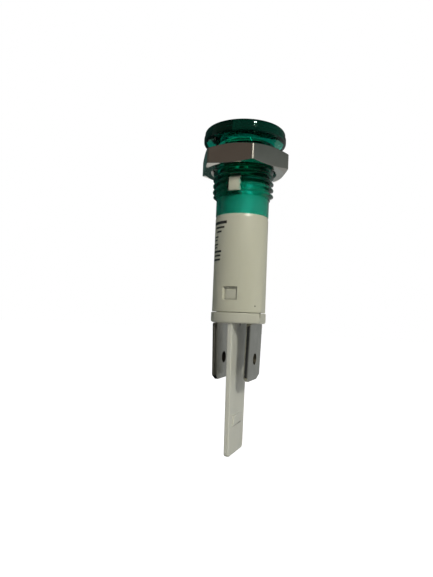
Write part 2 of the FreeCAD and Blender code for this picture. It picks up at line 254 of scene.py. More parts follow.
def ivory(name, light, dark, marks=None):
    """Satin ivory nylon between a light and a dark tone, with marks on top if it has any."""
    finish, tree, output, place = new_finish(name)
    grain = noise(tree, place, GRAIN_MM, 2.0)
    drift = noise(tree, place, FLOW_MM, 3.0, (1, 1, 0.4))
    colour = blend(tree, threshold(tree, drift, 0.3, 0.7), light, dark)
    if marks:
        colour = marks(tree, place, colour)
    cover(tree, output, "ShaderNodeBsdfPrincipled", {
        "IOR": 1.53,
        "Subsurface Weight": 0.12,
        "Subsurface Radius": (1.0, 0.9, 0.6),
        "Subsurface Scale": 0.0006,
    }, {"Base Color": colour, "Roughness": between(tree, grain, 0.25, 0.37),
        "Normal": dents(tree, grain, 0.25, 0.02)})
    return finish


def spot(tree, place, centre_mm, radius_mm, edge_mm):
    """A mask round one place: 1 in the middle and 0 beyond the radius."""
    apart = distance(tree, place, [value * TO_METRES for value in centre_mm])
    return threshold(tree, apart, radius_mm * TO_METRES, (radius_mm - edge_mm) * TO_METRES)


# %% [markdown]
# ## Print on the body
# Such a lamp carries pad-printed marks on one side. Here they are only plain bars, in black ink. A
# bar is a range of places along the body and another round it. The way round is the angle from the
# front, times the body's radius, so a bar keeps its real width on the round wall. Noise on the edges
# gives the slightly ragged outline of ink from a pad.

# %% Printed bars and the finishes that carry marks
BODY_RADIUS = 4.3
INK = "#1d1c1b"
INK_EDGE = 0.04
SPECK_PLACE = (3.5, -2.48, -26.2)
PIP_FOOT = (0.42, 0.3, -44.98)
ROOT_SHADE_PLACE = (0.45, -0.2, -29.0)
# In mm: each bar's middle round the body and along it, its length round the body and its height.
PRINTED_BARS = [
    (2.75, -13.2, 3.4, 0.46), (2.65, -13.95, 2.3, 0.32), (2.75, -14.6, 1.3, 0.3),
    (3.65, -15.4, 1.5, 0.22), (3.65, -15.9, 1.0, 0.22),
    (3.65, -16.6, 1.5, 0.22), (3.65, -17.1, 1.0, 0.22),
    (3.25, -17.75, 2.5, 0.34), (3.1, -18.4, 1.9, 0.3), (3.35, -19.05, 2.3, 0.32),
]


def within(tree, value, middle, width, soft):
    """A mask that is 1 where a value lies within a width about its middle."""
    apart = calculate(tree, "ABSOLUTE", calculate(tree, "SUBTRACT", value, middle))
    return threshold(tree, apart, width / 2 + soft, width / 2 - soft)


def body_marks(tree, place, colour):
    """Plain printed bars to the left of the front, and one dark speck in the plastic."""
    right, back, up = split(tree, place)
    left = calculate(tree, "MULTIPLY", right, -1.0)
    front = calculate(tree, "MULTIPLY", back, -1.0)
    angle = calculate(tree, "ARCTAN2", left, front)
    ragged = between(tree, noise(tree, place, 0.08, 2.0), -0.07, 0.07)
    across = calculate(tree, "MULTIPLY_ADD", angle, BODY_RADIUS, ragged)
    along = calculate(tree, "MULTIPLY_ADD", up, 1 / TO_METRES, ragged)
    for middle_across, middle_along, width, height in PRINTED_BARS:
        row = within(tree, along, middle_along, height, INK_EDGE)
        run = within(tree, across, middle_across, width, INK_EDGE)
        colour = blend(tree, calculate(tree, "MULTIPLY", row, run), colour, INK)
    return blend(tree, spot(tree, place, SPECK_PLACE, 0.17, 0.1), colour, "#4a4a3c")


def cap_marks(tree, place, colour):
    """Painted shade: a collar darker than the tongue, a dark line under the pip and a brown spot at
    the tongue's root.
    """
    # Painted shade: the collar is coloured darker than the tongue below it.
    collar_painted_shade = threshold(tree, split(tree, place)[2], -0.0291, -0.0289)
    colour = blend(tree, collar_painted_shade, colour, "#efeee7", "MULTIPLY")
    # Painted shadow: a dark line along the foot of the pip.
    pip_painted_shadow = threshold(tree, from_line(tree, place, (0, 1, 0), PIP_FOOT), 0.17, 0.07)
    near_pip = spot(tree, place, PIP_FOOT, 1.9, 0.5)
    colour = blend(tree, calculate(tree, "MULTIPLY", pip_painted_shadow, near_pip), colour, "#86867b")
    # Painted shade: a brown spot at the tongue's root, under the collar.
    uneven = threshold(tree, noise(tree, place, 0.25, 3.0), 0.3, 0.55)
    root_painted_shade = spot(tree, place, ROOT_SHADE_PLACE, 0.75, 0.5)
    return blend(tree, calculate(tree, "MULTIPLY", root_painted_shade, uneven), colour, "#5e4a2c")


finish_body = ivory("ivory_nylon_moulded_body", "#c0bfac", "#b8b7a4", body_marks)
finish_cap = ivory("ivory_nylon_moulded_cap", "#c6c6bb", "#bebeb3", cap_marks)
print(finish_body.name, finish_cap.name, "printed bars", len(PRINTED_BARS))

# %% [markdown]
# ## Plated metals
# The nut is turned from hexagon bar and nickel plated, and the tabs are stamped from brass sheet
# and tinned. Nickel is smooth, so it shows the room. Tin is duller, with fine scratches along the
# way the tabs were pushed in. Both are metals, so they keep the default index.

# %% Nickel and tin
HOLE_AXIS = {"along": (1, 0, 0), "point_mm": (0, 0, -34.55)}
HOLE_WALL = (0.93, 0.9)
CORNER_WEAR = (7.33, 7.4)
LAST_OF_TAB = (0.003, 0.0031)


def plated(name, colour_low, colour_high, rough_low, rough_high, scratch_mm, stretch, depth,
           *worn_places):
    """A scratched plated metal. Each worn place is a mask, a colour and a roughness."""
    finish, tree, output, place = new_finish(name)
    scratches = noise(tree, place, scratch_mm, 3.0, stretch)
    clouds = noise(tree, place, 1.6, 2.0)
    colour = blend(tree, threshold(tree, clouds, 0.3, 0.7), colour_low, colour_high)
    rough = between(tree, scratches, rough_low, rough_high)
    for find_mask, worn_colour, worn_rough in worn_places:
        mask = find_mask(tree, place)
        colour = blend(tree, mask, colour, worn_colour)
        rough = add_node(tree, "ShaderNodeMix", {3: worn_rough}, {0: mask, 2: rough}).outputs[0]
    cover(tree, output, "ShaderNodeBsdfPrincipled", {"Metallic": 1.0}, {
        "Base Color": colour, "Roughness": rough, "Normal": dents(tree, scratches, depth, 0.01)})
    return finish


def tumbled_corners(tree, place):
    """The corners of the hexagon, which knock together in the plating drum."""
    return threshold(tree, from_line(tree, place, **LAMP_AXIS), *CORNER_WEAR)


def punched_wall(tree, place):
    """The wall of a tab's hole, where the punch left bare brass that has gone dark."""
    return threshold(tree, from_line(tree, place, **HOLE_AXIS), *HOLE_WALL)


def sheared_edge(tree, place):
    """The rough edge that the shears left along each tab's seam, front left and back right."""
    right, back, up = split(tree, place)
    outer = threshold(tree, calculate(tree, "ABSOLUTE", back), *LAST_OF_TAB)
    seam = threshold(tree, calculate(tree, "MULTIPLY", right, back), 0.0, 0.000001)
    return calculate(tree, "MULTIPLY", outer, seam)


finish_nickel = plated("nickel_plated_steel_turned", "#cac4bb", "#d3cec5", 0.09, 0.17, 0.05,
                       (1, 1, 0.15), 0.1, (tumbled_corners, "#aba79f", 0.42))
finish_tin = plated("tinned_brass_stamped", "#b2b0a8", "#c3c1b9", 0.18, 0.3, 0.06,
                    (1, 1, 0.12), 0.12, (punched_wall, "#6b665a", 0.5),
                    (sheared_edge, "#94938a", 0.5))
finish_lead = plated("tinned_copper_wire", "#b4b3ae", "#c2c1bb", 0.2, 0.35, 0.05,
                     (1, 1, 0.1), 0.2)
finish_solder = plated("soft_solder_cooled", "#a4a5a6", "#b8b9ba", 0.3, 0.45, 0.12,
                       (1, 1, 1), 0.4)
print(finish_nickel.name, finish_tin.name, finish_lead.name, finish_solder.name)

# %% [markdown]
# ## The hidden pieces
# Inside are a glass neon lamp, a lacquered resistor, a black shrink sleeve and a white silicone
# sleeve. Little of them shows, but a cut-open view would, so each gets its own plain finish.

# %% Glass, lacquer and sleeves
finish_glass, tree, output, place = new_finish("lamp_glass_blown")
ripple = noise(tree, place, 0.9, 2.0)
cover(tree, output, "ShaderNodeBsdfPrincipled", {
    "Base Color": linear("#f4f1ec"), "Roughness": 0.03, "IOR": 1.5, "Transmission Weight": 1.0,
}, {"Normal": dents(tree, ripple, 0.15, 0.02)})


def soft_finish(name, low, high, feature_mm, rough_low, rough_high):
    """A matt coat or rubber, mottled at a real size."""
    finish, tree, output, place = new_finish(name)
    mottle = noise(tree, place, feature_mm, 3.0)
    colour = blend(tree, threshold(tree, mottle, 0.3, 0.7), low, high)
    rough = between(tree, mottle, rough_low, rough_high)
    cover(tree, output, "ShaderNodeBsdfPrincipled", {"IOR": 1.5}, {
        "Base Color": colour, "Roughness": rough, "Normal": dents(tree, mottle, 0.3, 0.02)})
    return finish


finish_lacquer = soft_finish("beige_resistor_lacquer", "#b9a274", "#c6b083", 0.3, 0.3, 0.45)
finish_shrink = soft_finish("black_shrink_sleeve", "#1c1c1d", "#262627", 0.2, 0.45, 0.6)
finish_silicone = soft_finish("white_silicone_sleeve", "#d9d8d0", "#e4e3dc", 0.2, 0.5, 0.65)
print(finish_glass.name, finish_lacquer.name, finish_shrink.name, finish_silicone.name)

# %% Put the finishes on the CAD nodes
NODE_FINISHES = {
    "lens_barrel": finish_green, "hex_nut": finish_nickel, "body_tube": finish_body,
    "end_cap": finish_cap, "tab_left": finish_tin, "tab_right": finish_tin,
    "neon_lamp": finish_glass, "lamp_lead_left": finish_lead, "lamp_lead_right": finish_lead,
    "crimp_ferrule": finish_tin, "resistor_lead_upper": finish_lead,
    "resistor_lead_lower": finish_lead, "series_resistor": finish_lacquer,
    "shrink_sleeve": finish_shrink, "lead_sleeve": finish_silicone,
    "solder_joint_left": finish_solder, "solder_joint_right": finish_solder,
}
for node_name, finish in NODE_FINISHES.items():
    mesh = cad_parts[node_name].data
    mesh.materials.clear()
    mesh.materials.append(finish)
print("finishes on", len(NODE_FINISHES), "nodes")

# %% [markdown]
# ## Tools for modelling in millimetres
# Drawings of small parts are in millimetres, and Blender's solid cutting works better on numbers
# near one than on thousandths. So each new piece is modelled in millimetres and brought to metres
# when it is finished.

# %% Outlines, turned shapes, plates and blocks
FULL_TURN = 2 * math.pi
LATHE_STEPS = 128
MERGE_MM = 0.0005


def outline(bm, points, closed=False):
    """Joins (place, corner round) points with edges, and rounds the corners that have a radius."""
    corners = [bm.verts.new(where) for where, rounding in points]
    following = corners[1:] + (corners[:1] if closed else [])
    for first, second in zip(corners, following):
        bm.edges.new((first, second))
    for corner, (where, rounding) in zip(corners, points):
        if rounding:
            bmesh.ops.bevel(bm, geom=[corner], offset=rounding, affect="VERTICES",
                            segments=5, profile=0.5, material=-1)
    return bm


def tidy(bm):
    """Merges doubles and turns the faces outwards."""
    bmesh.ops.remove_doubles(bm, verts=bm.verts, dist=MERGE_MM)
    bmesh.ops.recalc_face_normals(bm, faces=bm.faces)
    return bm


def turned(points, closed=False):
    """Spins (radius, height, corner round) points round the axis, as a lathe would."""
    section = [((radius, 0, height), rounding) for radius, height, rounding in points]
    bm = outline(bmesh.new(), section, closed)
    bmesh.ops.spin(bm, geom=bm.verts[:] + bm.edges[:], cent=(0, 0, 0), axis=(0, 0, 1),
                   dvec=(0, 0, 0), angle=FULL_TURN, steps=LATHE_STEPS, use_merge=True)
    return tidy(bm)


def disc(radius, top, foot):
    """A plain round slice between two heights."""
    return turned([(0, top, 0), (radius, top, 0), (radius, foot, 0), (0, foot, 0)])


def draw_out(bm, reach):
    """Draws a flat shape out by a vector, into a solid."""
    grown = bmesh.ops.extrude_face_region(bm, geom=bm.faces[:])
    moved = [item for item in grown["geom"] if isinstance(item, bmesh.types.BMVert)]
    bmesh.ops.translate(bm, verts=moved, vec=reach)


def extruded(points, reach):
    """A solid with a flat outline of (x, y, z, corner round) points, drawn out by a vector."""
    bm = outline(bmesh.new(), [((x, y, z), rounding) for x, y, z, rounding in points], closed=True)
    bmesh.ops.contextual_create(bm, geom=bm.edges[:])
    draw_out(bm, reach)
    return tidy(bm)


def block(low, high):
    """A box between two opposite corners."""
    bm = bmesh.new()
    bmesh.ops.create_cube(bm, size=1)
    size = [far - near for near, far in zip(low, high)]
    middle = [(far + near) / 2 for near, far in zip(low, high)]
    bmesh.ops.scale(bm, verts=bm.verts, vec=size)
    bmesh.ops.translate(bm, verts=bm.verts, vec=middle)
    return bm


def turn_by(bm, axis, degrees):
    """Turns a shape round one of the axes."""
    matrix = Matrix.Rotation(math.radians(degrees), 3, axis)
    bmesh.ops.rotate(bm, verts=bm.verts, cent=(0, 0, 0), matrix=matrix)


# %% Solid cutting, soft edges and finished pieces
def work_object(bm):
    """A passing object for a modifier to work on."""
    mesh = bpy.data.meshes.new("work")
    bm.to_mesh(mesh)
    bm.free()
    made = bpy.data.objects.new("work", mesh)
    scene.collection.objects.link(made)
    return made


def combine(base, tool, operation):
    """Joins, cuts or trims one solid with another: UNION, DIFFERENCE or INTERSECT."""
    kept, used = work_object(base), work_object(tool)
    step = kept.modifiers.new("step", "BOOLEAN")
    step.operation = operation
    step.solver = "EXACT"
    step.object = used
    bpy.context.view_layer.update()
    result = bmesh.new()
    result.from_object(kept, bpy.context.evaluated_depsgraph_get())
    for made in (kept, used):
        mesh = made.data
        bpy.data.objects.remove(made)
        bpy.data.meshes.remove(mesh)
    bmesh.ops.remove_doubles(result, verts=result.verts, dist=MERGE_MM)
    return result


def sharp_edges(bm, least_angle):
    """The edges whose two faces turn by more than an angle."""
    least = math.radians(least_angle)
    return [edge for edge in bm.edges
            if len(edge.link_faces) == 2 and least < edge.calc_face_angle(0) < math.pi]


def soften(bm, width, least_angle=30, segments=2, wanted=None):
    """Rounds the sharp edges, or only the wanted ones, because no moulded edge is razor sharp."""
    edges = [edge for edge in sharp_edges(bm, least_angle) if not wanted or wanted(edge)]
    bmesh.ops.bevel(bm, geom=edges, offset=width, offset_type="OFFSET", affect="EDGES",
                    segments=segments, profile=0.5, material=-1, clamp_overlap=True)
    return bm


def further_out(reach):
    """A test for edges that lie further than a reach to the left or right."""
    return lambda edge: min(abs(vert.co.x) for vert in edge.verts) > reach


def twice_round(bm):
    """Adds a copy on the far side, half a turn round the axis."""
    copied = bmesh.ops.duplicate(bm, geom=bm.verts[:] + bm.edges[:] + bm.faces[:])
    verts = [item for item in copied["geom"] if isinstance(item, bmesh.types.BMVert)]
    bmesh.ops.rotate(bm, verts=verts, cent=(0, 0, 0), matrix=Matrix.Rotation(math.pi, 3, "Z"))
    return bm


def finished(name, bm, finish, stands_for, body="lamp", smooth_angle=30, flat_area=None):
    """Brings a piece to metres, shades it and hands it to the frame.

    Faces over the flat area, in square millimetres, stay flat.
    """
    bmesh.ops.scale(bm, verts=bm.verts, vec=(TO_METRES,) * 3)
    open_edges = sum(1 for edge in bm.edges if len(edge.link_faces) != 2)
    mesh = bpy.data.meshes.new(name)
    bm.to_mesh(mesh)
    bm.free()
    mesh.shade_smooth()
    mesh.set_sharp_from_angle(angle=math.radians(smooth_angle))
    for face in mesh.polygons:
        if flat_area and face.area > flat_area * TO_METRES ** 2:
            face.use_smooth = False
    mesh.materials.append(finish)
    piece = bpy.data.objects.new(name, mesh)
    scene.collection.objects.link(piece)
    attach(piece, body)
    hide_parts(*stands_for)
    print(name, "faces", len(mesh.polygons), "open edges", open_edges)


# %% [markdown]
# ## The thread on the barrel
# An M10 thread with a 1 mm pitch climbs 1 mm each turn. It is made as a lathe would cut it: a
# toothed outline turns once round the axis and climbs one pitch on the way, so the last outline
# meets the first one tooth further on. That gives one clean helix with no extra faces. The crests
# are rounded, because plastic doesn't fill a sharp groove in the mould.

# %% Threaded rod
PITCH = 1.0
CREST_RADIUS = 4.95
ROOT_RADIUS = 4.42
CREST_FLAT = 0.18
ROOT_FLAT = 0.22
CREST_HEIGHT = -0.356
CREST_ROUND = 0.06
ROOT_ROUND = 0.08
CREST_COUNT = 9
THREAD_END = -9.0


def threaded_rod(top, foot):
    """A solid rod with a right-hand thread between two heights."""
    teeth = []
    height = top + 2 * PITCH - (top - CREST_HEIGHT) % PITCH
    while height > foot - 2 * PITCH:
        for radius, middle, flat, rounding in (
                (CREST_RADIUS, height, CREST_FLAT, CREST_ROUND),
                (ROOT_RADIUS, height - PITCH / 2, ROOT_FLAT, ROOT_ROUND)):
            teeth += [((radius, 0, middle + flat / 2), rounding),
                      ((radius, 0, middle - flat / 2), rounding)]
        height -= PITCH
    bm = outline(bmesh.new(), teeth)
    bmesh.ops.spin(bm, geom=bm.verts[:] + bm.edges[:], cent=(0, 0, 0), axis=(0, 0, 1),
                   dvec=(0, 0, PITCH / LATHE_STEPS), angle=FULL_TURN, steps=LATHE_STEPS)
    bmesh.ops.remove_doubles(bm, verts=bm.verts, dist=2 * MERGE_MM)
    for cut_height, keep_below in ((top, True), (foot, False)):
        geometry = bm.verts[:] + bm.edges[:] + bm.faces[:]
        bmesh.ops.bisect_plane(
            bm, geom=geometry, dist=0.0001, plane_co=(0, 0, cut_height), plane_no=(0, 0, 1),
            clear_outer=keep_below, clear_inner=not keep_below)
    rims = [edge for edge in bm.edges if edge.is_boundary]
    bmesh.ops.holes_fill(bm, edges=rims, sides=0)
    bmesh.ops.recalc_face_normals(bm, faces=bm.faces)
    crests = [round(CREST_HEIGHT - count * PITCH, 2) for count in range(CREST_COUNT)]
    print("thread crests near", crests)
    return bm


# %% [markdown]
# ## The green lens and barrel
# The head, the thread and the plain sleeve below it are one moulding. The core is turned, the
# threaded rod joins it, and the bore and the two snap windows are cut last, through everything.

# %% Lens and barrel
HEAD_TOP = 2.25
FACE_RADIUS = 6.6
RIM_TOP = 1.1
RIM_RADIUS = 6.725
THREAD_TOP = 0.2
SLEEVE_RADIUS = 4.3
SLEEVE_END = -11.85
BORE_RADIUS = 3.55
BORE_TOP = 1.15
WINDOW_HALF = 1.1
WINDOW_FOOT = -8.4
WINDOW_TOP = -5.75

core = turned([
    (0, HEAD_TOP, 0), (FACE_RADIUS, HEAD_TOP, 0.6), (FACE_RADIUS, RIM_TOP, 0),
    (RIM_RADIUS, RIM_TOP, 0.06), (RIM_RADIUS, 0, 0.45), (ROOT_RADIUS, 0, 0),
    (ROOT_RADIUS, THREAD_END, 0), (SLEEVE_RADIUS, THREAD_END, 0),
    (SLEEVE_RADIUS, SLEEVE_END, 0.08), (0, SLEEVE_END, 0)])
rod = threaded_rod(THREAD_TOP, THREAD_END)
lead_in = turned([
    (0, 0.4, 0), (5.2, 0.4, 0), (5.2, -8.4, 0), (SLEEVE_RADIUS, THREAD_END - 0.05, 0),
    (0, THREAD_END - 0.05, 0)])
rod = combine(rod, lead_in, "INTERSECT")
lens = combine(core, rod, "UNION")
bore = turned([
    (0, BORE_TOP, 0), (BORE_RADIUS, BORE_TOP, 0.6), (BORE_RADIUS, -13, 0), (0, -13, 0)])
lens = combine(lens, bore, "DIFFERENCE")
window = block((-WINDOW_HALF, -8, WINDOW_FOOT), (WINDOW_HALF, 8, WINDOW_TOP))
lens = combine(lens, window, "DIFFERENCE")
finished("green_lens_and_barrel", lens, finish_green, ["lens_barrel"])

# %% [markdown]
# ## The hex nut
# The nut is cut from drawn hexagon bar, so its six flats are smooth and its corners a little
# round. Both faces are chamfered on a lathe, which leaves a curved line across each flat. A hexagon
# is grown into a bar, its corners are bevelled, and a turned shape trims both faces at once.

# %% Nut
ACROSS_FLATS = 13.0
NUT_TOP = -1.55
NUT_FOOT = -4.55
NUT_TURN = 28.5
NUT_BORE = 5.0
CORNER_ROUND = 0.19
COUNTERSINK = 0.6
COUNTERSINK_DEPTH = 0.3
TOP_CHAMFER_ANGLE = 22
FOOT_CHAMFER_ANGLE = 14
corner_radius = ACROSS_FLATS / math.sqrt(3)
chamfer_radius = ACROSS_FLATS / 2 - 0.05
chamfer_width = corner_radius - chamfer_radius

bar = bmesh.new()
bmesh.ops.create_circle(bar, cap_ends=True, segments=6, radius=corner_radius)
draw_out(bar, (0, 0, NUT_TOP - NUT_FOOT))
bmesh.ops.translate(bar, verts=bar.verts, vec=(0, 0, NUT_FOOT))
first_corner = min(math.degrees(math.atan2(vert.co.y, vert.co.x)) % 60 for vert in bar.verts)
turn_by(bar, "Z", NUT_TURN - 90 - first_corner)
corners = [edge for edge in bar.edges if abs(edge.verts[0].co.z - edge.verts[1].co.z) > 1]
bmesh.ops.bevel(bar, geom=corners, offset=CORNER_ROUND, affect="EDGES", segments=4,
                profile=0.5, material=-1)
tidy(bar)
top_edge = NUT_TOP - chamfer_width * math.tan(math.radians(TOP_CHAMFER_ANGLE))
foot_edge = NUT_FOOT + chamfer_width * math.tan(math.radians(FOOT_CHAMFER_ANGLE))
limit = turned([
    (0, NUT_TOP, 0), (chamfer_radius, NUT_TOP, 0), (corner_radius, top_edge, 0),
    (corner_radius, foot_edge, 0), (chamfer_radius, NUT_FOOT, 0), (0, NUT_FOOT, 0)])
wide_radius = NUT_BORE + COUNTERSINK
hole = turned([
    (0, NUT_TOP + COUNTERSINK_DEPTH, 0), (wide_radius, NUT_TOP + COUNTERSINK_DEPTH, 0),
    (NUT_BORE, NUT_TOP - COUNTERSINK_DEPTH, 0), (NUT_BORE, NUT_FOOT + COUNTERSINK_DEPTH, 0),
    (wide_radius, NUT_FOOT - COUNTERSINK_DEPTH, 0), (0, NUT_FOOT - COUNTERSINK_DEPTH, 0)])
nut = combine(combine(bar, limit, "INTERSECT"), hole, "DIFFERENCE")
soften(nut, 0.05, 40, 2)
finished("plated_hex_nut", nut, finish_nickel, ["hex_nut"], body="nut",
         smooth_angle=9)

# %% [markdown]
# ## The ivory body
# The body is a moulded tube. Its narrow top, the spigot, goes up inside the green barrel, and two
# lugs on it snap into the barrel's windows. Near its tail are two windows for the end cap, each
# with a shallow lead-in beside it. Both sides are shaved a little flatter towards the tail, to line
# up with the flats of the cap. The top edge tapers slightly. The spigot is a hundredth of a
# millimetre too large for the bore, as a press fit is, so no film of air shines between the green
# and the ivory. The tube is turned, the lugs are joined, and then the flats and windows are cut.

# %% Body
BODY_END = -27.3
JOINT_GAP = 0.06
SPIGOT_TOP = -5.35
PRESS_FIT = 0.01
SPIGOT_RADIUS = BORE_RADIUS + PRESS_FIT
SPIGOT_BORE = 2.8
TUBE_BORE = 3.3
SOCKET_BORE = 3.65
SHOULDER = -12.75
SOCKET_TOP = -22.5
LUG_HALF = 0.98
LUG_TOP = -5.87
LUG_FOOT = -8.28

body_foot = BODY_END + JOINT_GAP
body = turned([
    (SPIGOT_BORE, SPIGOT_TOP, 0), (SPIGOT_RADIUS, SPIGOT_TOP, 0.25),
    (SPIGOT_RADIUS, SLEEVE_END, 0), (4.2, SLEEVE_END, 0.06), (BODY_RADIUS, -12.3, 0.2),
    (BODY_RADIUS, body_foot, 0.14), (SOCKET_BORE, body_foot, 0), (SOCKET_BORE, SOCKET_TOP, 0),
    (TUBE_BORE, SOCKET_TOP, 0), (TUBE_BORE, SHOULDER, 0), (SPIGOT_BORE, SHOULDER, 0)], closed=True)
lugs = twice_round(extruded([
    (-LUG_HALF, -3.2, LUG_FOOT, 0), (-LUG_HALF, -4.6, LUG_FOOT, 0), (-LUG_HALF, -4.6, -6.37, 0),
    (-LUG_HALF, -3.9, LUG_TOP, 0.1), (-LUG_HALF, -3.2, LUG_TOP, 0)], (2 * LUG_HALF, 0, 0)))
lugs = combine(lugs, disc(4.4, -5.8, -8.4), "INTERSECT")
soften(lugs, 0.07, 40, 2)
lugs = combine(lugs, disc(2.9, -5.8, -8.4), "DIFFERENCE")
body = combine(body, lugs, "UNION")
print("body with lugs, faces", len(body.faces))

# %% Windows and flats of the body
CATCH_HALF = 1.06
CATCH_FOOT = -25.3
CATCH_HEIGHT = 2.0
LEAD_IN_SIDE = -1.42
SHAVED_FROM = -17.5
SHAVED_TO = -27.5

for side in (-1, 1):
    flat = extruded([
        (side * 4.13, -5, SHAVED_TO, 0), (side * 4.31, -5, SHAVED_FROM, 0),
        (side * 5.5, -5, SHAVED_FROM, 0), (side * 5.5, -5, SHAVED_TO, 0)], (0, 10, 0))
    body = combine(body, flat, "DIFFERENCE")
catch = block((-CATCH_HALF, -6, CATCH_FOOT), (CATCH_HALF, 6, CATCH_FOOT + CATCH_HEIGHT))
body = combine(body, catch, "DIFFERENCE")
inside_catch = -CATCH_HALF + 0.05
lead_in = twice_round(extruded([
    (LEAD_IN_SIDE, -4.05, CATCH_FOOT, 0), (inside_catch, -3.92, CATCH_FOOT, 0),
    (inside_catch, -4.7, CATCH_FOOT, 0), (LEAD_IN_SIDE, -4.7, CATCH_FOOT, 0)],
    (0, 0, CATCH_HEIGHT)))
body = combine(body, lead_in, "DIFFERENCE")
finished("ivory_body", body, finish_body, ["body_tube"], smooth_angle=22)

# %% [markdown]
# ## The end cap and its tongue
# The cap is moulded in one: a collar with a flat on each side, a thin plug with two nubs on low pads
# that snap into the body's windows, and the long tongue that keeps the two wires apart. The collar
# and plug are turned and the tongue is a tapered plate with rounded edges, because a moulded edge
# never comes out sharp. The raised pip on the tongue is a small block that fades out towards the back
# and the top. Its front end catches the light, and the dark line at its foot is a painted shadow. The
# collar is painted a little darker than the tongue, and a brown spot is painted at the tongue's root,
# both as painted shade.

# %% Collar and plug
CAP_END = -28.95
COLLAR_RADIUS = 4.425
FLAT_PLACE = 4.145
PLUG_TOP = -22.7
PLUG_RADIUS = 3.6
PLUG_BORE = 3.1
NUB_HALF = 0.8
NUB_TOP = -23.5
NUB_FOOT = -25.2

collar = turned([
    (0, BODY_END, 0), (PLUG_BORE, BODY_END, 0), (PLUG_BORE, PLUG_TOP, 0),
    (PLUG_RADIUS, PLUG_TOP, 0.15), (PLUG_RADIUS, BODY_END, 0), (COLLAR_RADIUS, BODY_END, 0.18),
    (COLLAR_RADIUS, CAP_END, 0.35), (0, CAP_END, 0)])
for side in (-1, 1):
    low, high = sorted((side * FLAT_PLACE, side * 6.0))
    collar = combine(collar, block((low, -6, -29.5), (high, 6, -27.2)), "DIFFERENCE")
soften(collar, 0.12, 14, 2, wanted=further_out(FLAT_PLACE - 0.05))
nubs = twice_round(extruded([
    (-NUB_HALF, -3.2, NUB_FOOT, 0), (-NUB_HALF, -4.3, NUB_FOOT, 0), (-NUB_HALF, -4.3, -23.95, 0),
    (-NUB_HALF, -3.7, NUB_TOP, 0), (-NUB_HALF, -3.2, NUB_TOP, 0)], (2 * NUB_HALF, 0, 0)))
pads = twice_round(block((-1.0, -3.86, -25.24), (1.0, -3.2, -23.36)))
nubs = combine(nubs, pads, "UNION")
nubs = combine(nubs, disc(4.02, -23, -26), "INTERSECT")
nubs = combine(nubs, disc(3.3, -22, -27), "DIFFERENCE")
cap = combine(collar, nubs, "UNION")
print("collar and plug, faces", len(cap.faces))

# %% Tongue, pip and slots
TONGUE_END = -49.5
TONGUE_HALF = 0.4
ROOT_SIDE = 3.95
TIP_SIDE = 3.475
TIP_ROUND = 0.65
TONGUE_TOP = -28.1
TAB_PLACE = 2.77
TAB_HALF = 0.4
TAB_SLOT_GAP = 0.08

tongue = extruded([
    (-TONGUE_HALF, -ROOT_SIDE, TONGUE_TOP, 0), (-TONGUE_HALF, ROOT_SIDE, TONGUE_TOP, 0),
    (-TONGUE_HALF, ROOT_SIDE, CAP_END, 0), (-TONGUE_HALF, TIP_SIDE, TONGUE_END, TIP_ROUND),
    (-TONGUE_HALF, -TIP_SIDE, TONGUE_END, TIP_ROUND), (-TONGUE_HALF, -ROOT_SIDE, CAP_END, 0)],
    (2 * TONGUE_HALF, 0, 0))
soften(tongue, 0.17, 60, 3)
pip = block((0.3, -2.12, -45.05), (0.64, 1.7, -43.35))
for vert in pip.verts:
    if vert.co.x > 0.5 and vert.co.y < 0:
        vert.co = (0.7, -1.98, -44.8) if vert.co.z < -44 else (0.6, -2.0, -43.45)
    elif vert.co.x > 0.5:
        vert.co = (0.5, 1.6, -44.8) if vert.co.z < -44 else (0.41, 1.6, -43.45)
print("pip stands out", round(max(vert.co.x for vert in pip.verts) - TONGUE_HALF, 2), "mm")
cap = combine(combine(cap, tongue, "UNION"), pip, "UNION")
for side in (-1, 1):
    slot_half = TAB_HALF + TAB_SLOT_GAP
    low, high = sorted((side * (TAB_PLACE - slot_half), side * (TAB_PLACE + slot_half)))
    cap = combine(cap, block((low, -0.63, -30.5), (high, 2.23, -26.5)), "DIFFERENCE")
notch = block((3.4, -1.78, -28.05), (4.6, -1.25, -27.2))
cap = combine(cap, notch, "DIFFERENCE")
finished("ivory_end_cap", cap, finish_cap, ["end_cap"], smooth_angle=32,
         flat_area=0.5)

# %% [markdown]
# ## The push-on tabs
# A 6.3 x 0.8 mm tab is stamped from sheet 0.4 mm thick and folded double, so one long edge is a round
# fold and the other shows the two layers with a fine gap between them. The folded section is drawn
# out along the tab and trimmed to the tab's outline. The hole is punched, the tip is coined to a
# wedge that finds its way into a receptacle, and the neck and tail carry it into the cap.

# %% Folded tabs
TAB_TOP = -28.98
TAB_END = -37.95
TAB_SIDE = 3.15
TAB_LEAN = 1.6
TAB_CORNER = 0.7
SEAM_GAP = 0.05
SEAM_DEPTH = 0.9
LIP_ROUND = 0.07
FOLD_ROUND = 0.34
HOLE_RADIUS = 0.88
HOLE_ABOVE_TIP = 3.4
COINED_LENGTH = 0.9
COINED_DEPTH = 0.2
STRIP_LENGTH = 9.4


